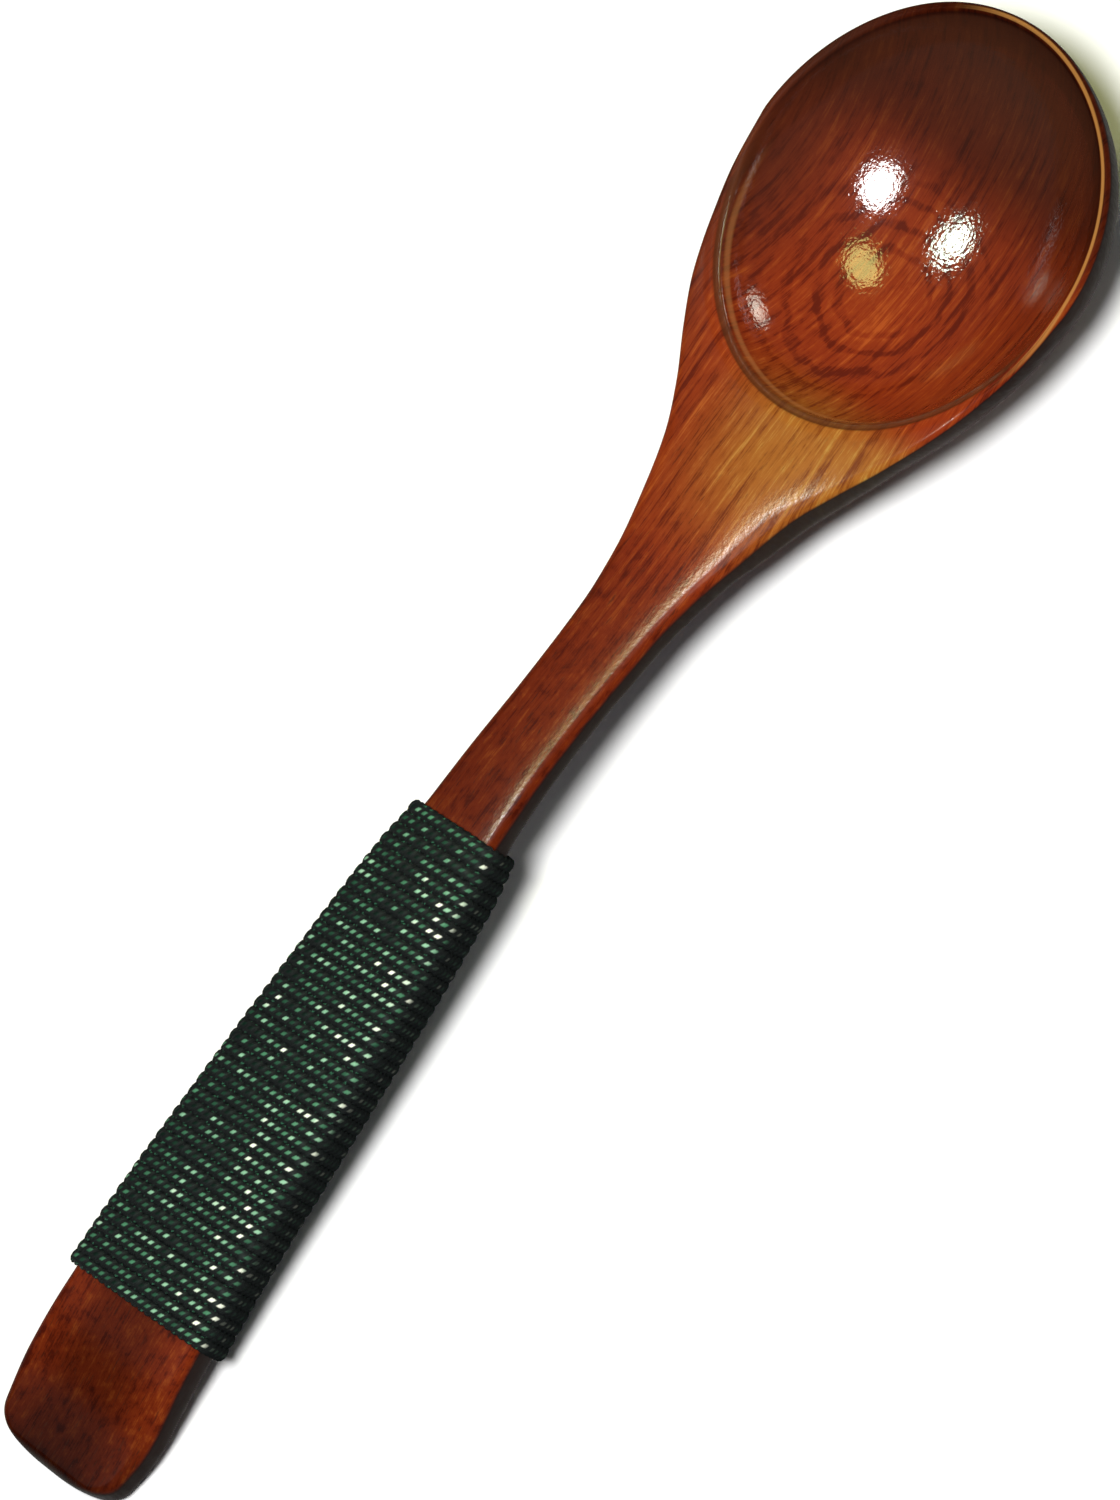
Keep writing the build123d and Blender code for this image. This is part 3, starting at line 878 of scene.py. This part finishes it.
def grain_tone(n, at, fine):
    """Long fibres, the growth rings, and a blotchy cross figure that is strongest on the handle."""
    fibres = n.noise(n.place((0.06, 1.5, 0.2)), detail=5, rough=0.6)
    blotch_place = n.place((0.42, 0.62, 0.62), turn=(0, 0, 0.5), shift=(9, 4, 4))
    blotch = n.noise(blotch_place, detail=5, rough=0.62, distortion=0.5)
    speckle = n.noise(n.place((0.8, 1.0, 1.0), turn=(0, 0, -0.6), shift=(2, 2, 8)), detail=4, rough=0.65)
    figured = n.span(at.x, 34, 12, 0.25, 0.6)
    tone = n.plus(fibres, n.times(n.minus(blotch, fibres), figured))
    tone = n.plus(tone, n.times(n.minus(fine, 0.5), 0.45))
    tone = n.plus(tone, n.times(n.minus(speckle, 0.5), n.span(at.on_grip, 0.0, 1.0, 0.1, 0.5)))
    return n.plus(tone, n.times(growth_rings(n, at), 0.12))


def tone_and_painted_shade(n, at, colour):
    """Darker towards the butt and most round the tip, with the neck left brightest: partly a tone along the
    spoon, partly painted light on the neck and painted shade at the tip; painted shade on the bowl's far side
    and towards the hollow's tip; and the butt paler at its edges and darker down its middle.
    """
    along = n.math("DIVIDE", n.plus(at.x, LENGTH / 2), LENGTH)
    # the tone along the spoon, partly painted light on the neck and painted shade at the tip
    along_tone = n.ramp(along, [(place, (share,) * 3) for place, share in TONE_AND_SHADE_ALONG])
    colour = n.mix(1.0, colour, along_tone, "MULTIPLY")
    # painted shade over the bowl's far side
    colour = n.mix(n.times(n.span(at.y, 10, 21, 0.0, 0.7), at.in_bowl), colour, FAR_SIDE_SHADE)
    # painted shade towards the hollow's tip
    colour = n.mix(n.times(n.span(at.x, 70, 88, 0.0, 0.5), at.in_hollow), colour, TIP_SHADE)
    # paler towards the butt's edges and darker down its middle
    butt_edges = n.span(n.math("ABSOLUTE", at.y), 2, 8, 0.8, 1.6)
    butt_tone = n.plus(1.0, n.times(n.minus(butt_edges, 1.0), at.on_grip))
    return n.mix(1.0, colour, butt_tone, "MULTIPLY")


def marked(n, at, colour):
    """Painted shade in the small step on the handle's side, a paler line along its ridge, and a paler line on
    the rim's inner edge that is partly wear and partly a painted highlight.
    """
    # painted shade on the step's steep wall
    at_step = n.times(n.band(at.out, (0.95, 0.965), (0.99, 1.0)), n.span(at.from_middle, 2, -8), at.faces_up)
    colour = n.mix(n.times(at_step, 0.8), colour, STEP_SHADE)
    ridge = n.times(n.band(at.out, (0.93, 0.94), (0.945, 0.955)), n.span(at.from_middle, 0, -12), at.faces_up)
    colour = n.mix(n.times(ridge, 0.35), colour, RIDGE_COLOUR)
    # a paler line on the rim's land towards the tip and -Y side: partly wear, and partly a painted highlight
    # where the rim catches the lamps
    worn = n.times(n.band(at.out, (1.006, 1.012), (1.022, 1.03)), n.span(at.from_middle, -10, 0))
    worn = n.times(worn, n.span(at.y, 10, 2), at.faces_up)
    return n.mix(n.times(worn, 0.65), colour, WORN_AND_LIT_RIM_COLOUR)


def lacquer(n, at, fine):
    """The clear coat: smoothest in the hollow, worn thin along its edge, and almost none on the sides."""
    peel = n.noise(n.place((1.9, 2.4, 2.4)), detail=2, rough=0.5)
    n.feed("Coat Normal", n.bump(peel, 0.024))
    clear = n.math("MAXIMUM", at.in_hollow, n.span(at.steepness, 0.945, 0.972, 0.03, 1.0))
    edge_start = n.plus(at.out, n.span(at.from_middle, -8, 8, 0.0, 0.06))
    at_edge = n.times(n.span(edge_start, 0.95, 0.98), n.span(at.out, 1.06, 1.03))
    n.feed("Coat Weight", n.times(clear, n.span(at_edge, 0.0, 1.0, 1.0, 0.04)))
    hazy = n.span(at.in_hollow, 0.0, 1.0, 0.14, 0.0)
    n.feed("Coat Roughness", n.plus(hazy, n.span(fine, 0.3, 0.7, 0.06, 0.10)))
    n.shader.inputs["Coat IOR"].default_value = LACQUER_IOR


def lacquered_wood():
    """Red-brown close-grained wood under a clear gloss lacquer, darker towards the butt, with painted shade
    round the tip and on the sides and underside.
    """
    n = Nodes("lacquered_wood")
    at = wood_places(n)
    fine = n.noise(n.place((0.3, 6.0, 0.6), shift=(5, 1, 2)), detail=4, rough=0.65)
    pores = n.span(n.noise(n.place((0.5, 4.2, 0.5), shift=(1, 7, 3)), detail=3, rough=0.6), 0.60, 0.70)

    tone = grain_tone(n, at, fine)
    # the golden flare, strongest towards -Y, is partly the wood's paler tone and partly painted light
    flare = n.times(n.span(at.x, *FLARE_START), n.span(at.x, *FLARE_END), n.span(at.y, 9, -4, 0.05, 1.0))
    colour = n.mix(flare, n.ramp(tone, RED_WOOD), n.ramp(tone, GOLD_WOOD))
    colour = tone_and_painted_shade(n, at, colour)
    colour = n.mix(n.times(pores, n.span(at.x, 50, 20, 0.15, 0.6)), colour, PORE_COLOUR)
    colour = marked(n, at, colour)

    # painted shade: the sides are painted near black, and the underside nearly as dark
    painted_side_shade = n.times(n.span(at.upward, 0.55, 0.12), n.outside(at.in_hollow))
    painted_side_shade = n.times(painted_side_shade, n.span(at.upward, -1.0, -0.1, 0.75, 1.0))
    n.feed("Base Color", n.mix(n.times(painted_side_shade, 0.97), colour, SIDE_SHADE))

    n.feed("Roughness", n.span(fine, 0.3, 0.7, 0.45, 0.6))
    n.feed("Normal", n.bump(n.minus(n.times(fine, 0.4), pores), 0.02, 0.4))
    n.shader.inputs["Specular IOR Level"].default_value = 0.02
    lacquer(n, at, fine)
    return n.material


def cord_glints(n, twist, around, facing):
    """The painted green highlights: the spots on the crests, how bright each may be, and fainter ones on the
    flanks.
    """
    # a painted highlight spot where each strand comes up over the cord, each with its own strength, only
    # where the grip faces up
    outward = n.math("COSINE", n.times(n.minus(n.plus(twist, around), 0.25), 2 * math.pi))
    crest = n.math("COSINE", n.times(around, 2 * math.pi * STRANDS))
    lit_top = n.span(facing, 0.35, 0.95, 0.05, 1.0)
    spot = n.times(n.span(outward, 0.93, 0.998), n.span(crest, -0.5, 0.7), lit_top)
    spot_luck = n.luck(n.math("ROUND", n.minus(n.times(twist, STRANDS), 0.75)))
    cloud = n.noise(n.place((0.25, 0.25, 0.25)), detail=2)
    _, across, _ = n.split(n.place((1, 1, 1)))
    # the painted highlights grow brighter towards -Y
    glint_side_bias = n.span(across, 2, -7, -0.08, 0.16)
    spot_luck = n.plus(n.times(spot_luck, 0.75), n.times(n.minus(cloud, 0.4), 0.9))
    spot_luck = n.plus(spot_luck, glint_side_bias)

    # and a fainter painted highlight on its flank, where the next strand parts from it
    flank = n.times(n.band(outward, (0.35, 0.55), (0.62, 0.80)), n.span(crest, -0.1, 0.8), lit_top)
    flank_luck = n.luck(n.plus(n.math("ROUND", n.times(twist, 2 * STRANDS)), 0.37))
    return spot, spot_luck, n.times(flank, n.span(flank_luck, 0.45, 1.0))


def cord_material():
    """Hard-twisted black thread with painted green highlights on it, brighter where the grip faces up towards
    the lamps.
    """
    n = Nodes("twisted_cord")
    uv = n.node("UVMap")
    uv.uv_map = "strand"
    twist, around, _ = n.split(uv.outputs["UV"])
    attribute = n.node("Attribute")
    attribute.attribute_name = "facing"
    facing = attribute.outputs["Fac"]
    spot, spot_luck, flank = cord_glints(n, twist, around, facing)

    stretch = n.node("Mapping", Scale=FIBRE_STRETCH)
    n.join(uv.outputs["UV"], stretch.inputs["Vector"])
    fibre = n.noise(stretch.outputs["Vector"], detail=3, rough=0.6)
    thread = n.mix(flank, n.ramp(fibre, THREAD), FLANK_GLINT)
    n.feed("Base Color", n.mix(spot, thread, n.ramp(spot_luck, THREAD_GLINTS)))
    n.feed("Roughness", n.span(fibre, 0.3, 0.7, 0.42, 0.6))
    n.feed("Normal", n.bump(fibre, 0.05, 0.6))
    n.feed("Specular IOR Level", n.span(facing, 0.3, 0.9, 0.0, 0.10))
    n.shader.inputs["Specular Tint"].default_value = THREAD_SHEEN
    return n.material


def glue_material():
    """Cured amber glue, wiped thin and a little cloudy."""
    n = Nodes("amber_glue")
    cloud = n.noise(n.place((0.5, 0.5, 0.5)), detail=4)
    n.feed("Base Color", n.ramp(cloud, GLUE))
    n.feed("Roughness", n.span(cloud, 0.3, 0.7, 0.25, 0.45))
    n.feed("Normal", n.bump(cloud, 0.05, 0.5))
    return n.material


def floor_material():
    n = Nodes("studio_floor")
    tint = n.noise(n.place((0.01, 0.01, 0.01)), detail=2)
    n.feed("Base Color", n.ramp(tint, FLOOR))
    n.shader.inputs["Roughness"].default_value = 0.9
    n.shader.inputs["Specular IOR Level"].default_value = 0.1
    return n.material


# ---- the scene ----
VIEW_ELEVATION = math.radians(61.98)
SPOON_TURN = math.radians(53.62)  # how far the spoon's long axis is turned up from the picture's base
CAMERA_DISTANCE = 1.3
FRAME_HEIGHT = 0.15543            # how much the picture takes in from top to bottom, at the spoon
AIM_RIGHT, AIM_UP = -1.57, 2.79   # millimetres from the origin to the picture's middle
NECK_MIDDLE = Vector((0.020, -0.005, 0.013))
WALL_SPOT = Vector((0.050, 0.0105, 0.010))
BOWL_MIDDLE = Vector(((HOLLOW_STATION - LENGTH / 2) * MM, 0, 3 * MM))
KEY_SPOT = BOWL_MIDDLE + Vector((-0.05, 0.01, 0.005))
LAMPS = [                         # name, target, direction, distance, sizes, spread, power, colour
    ("key", KEY_SPOT, (-0.09, -0.25, 0.96), 1.36, (0.40, 0.40), 180, 23, (1, 1, 1)),
    ("bowl_lamp", BOWL_MIDDLE, (-0.08, 0.48, 0.87), 0.08, (0.009, 0.009), 40, 0.0009, (0.80, 1.0, 0.82)),
    ("warm_lamp", BOWL_MIDDLE, (0.29, 0.0, 0.96), 1.4, (0.50, 0.30), 180, 4.4, (0.97, 1.0, 0.32)),
    ("neck_lamp", NECK_MIDDLE, (-0.02, -0.07, 0.99), 0.12, (0.07, 0.03), 30, 0.0016, (1.0, 0.90, 0.32)),
    ("wall_lamp", WALL_SPOT, (0.93, -0.30, 0.20), 0.25, (0.16, 0.06), 20, 0.005, (1.0, 0.96, 0.8)),
]
SENSOR_HEIGHT = 36.0
FLOOR_SIZE = 6
SKY_COLOUR, SKY_STRENGTH = (0.85, 0.93, 1.0, 1), 0.08


def camera():
    data = bpy.data.cameras.new("camera")
    data.sensor_fit = "VERTICAL"
    data.sensor_height = SENSOR_HEIGHT
    data.lens = data.sensor_height * CAMERA_DISTANCE / FRAME_HEIGHT
    data.clip_start = 0.01
    eye = bpy.data.objects.new("camera", data)
    back = Vector((0, -math.cos(VIEW_ELEVATION), math.sin(VIEW_ELEVATION)))
    right = Vector((1, 0, 0))
    up = back.cross(right)
    turned_right = right * math.cos(SPOON_TURN) - up * math.sin(SPOON_TURN)
    turned_up = right * math.sin(SPOON_TURN) + up * math.cos(SPOON_TURN)
    eye.matrix_world = Matrix((turned_right, turned_up, back)).transposed().to_4x4()
    eye.location = (turned_right * AIM_RIGHT + turned_up * AIM_UP) * MM + back * CAMERA_DISTANCE
    bpy.context.scene.collection.objects.link(eye)
    bpy.context.scene.camera = eye


def soft_light(name, target, direction, distance, sizes, spread, power, colour):
    """A soft round or oval light that shines on the target from a direction, unseen by the camera."""
    data = bpy.data.lights.new(name, "AREA")
    data.shape = "ELLIPSE"
    data.size, data.size_y = sizes
    data.energy = power
    data.color = colour
    data.spread = math.radians(spread)
    lamp = bpy.data.objects.new(name, data)
    direction = Vector(direction).normalized()
    lamp.location = target + direction * distance
    lamp.rotation_euler = direction.to_track_quat("Z", "Y").to_euler()
    lamp.visible_camera = False
    bpy.context.scene.collection.objects.link(lamp)


def studio():
    bpy.ops.mesh.primitive_plane_add(size=FLOOR_SIZE, location=(0, 0, 0))
    floor = bpy.context.object
    floor.name = "studio_floor"
    floor.data.materials.append(floor_material())
    world = bpy.data.worlds.new("studio")
    world.use_nodes = True
    sky = world.node_tree.nodes["Background"]
    sky.inputs["Color"].default_value = SKY_COLOUR
    sky.inputs["Strength"].default_value = SKY_STRENGTH
    bpy.context.scene.world = world
    for lamp in LAMPS:
        soft_light(*lamp)
    bpy.context.scene.view_settings.view_transform = "Standard"


spoon = carved_body()
spoon.data.materials.append(lacquered_wood())
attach(spoon, BODY)
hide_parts("spoon_body")

cord, cord_length = twisted_cord()
cord.data.materials.append(cord_material())
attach(cord, BODY)
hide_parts("grip_winding", "winding_start_tail", "winding_finish_tail")
print("cord length", round(cord_length, 1), "mm")

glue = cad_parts["glue_coat"]
glue.data.materials.clear()
glue.data.materials.append(glue_material())

studio()
camera()
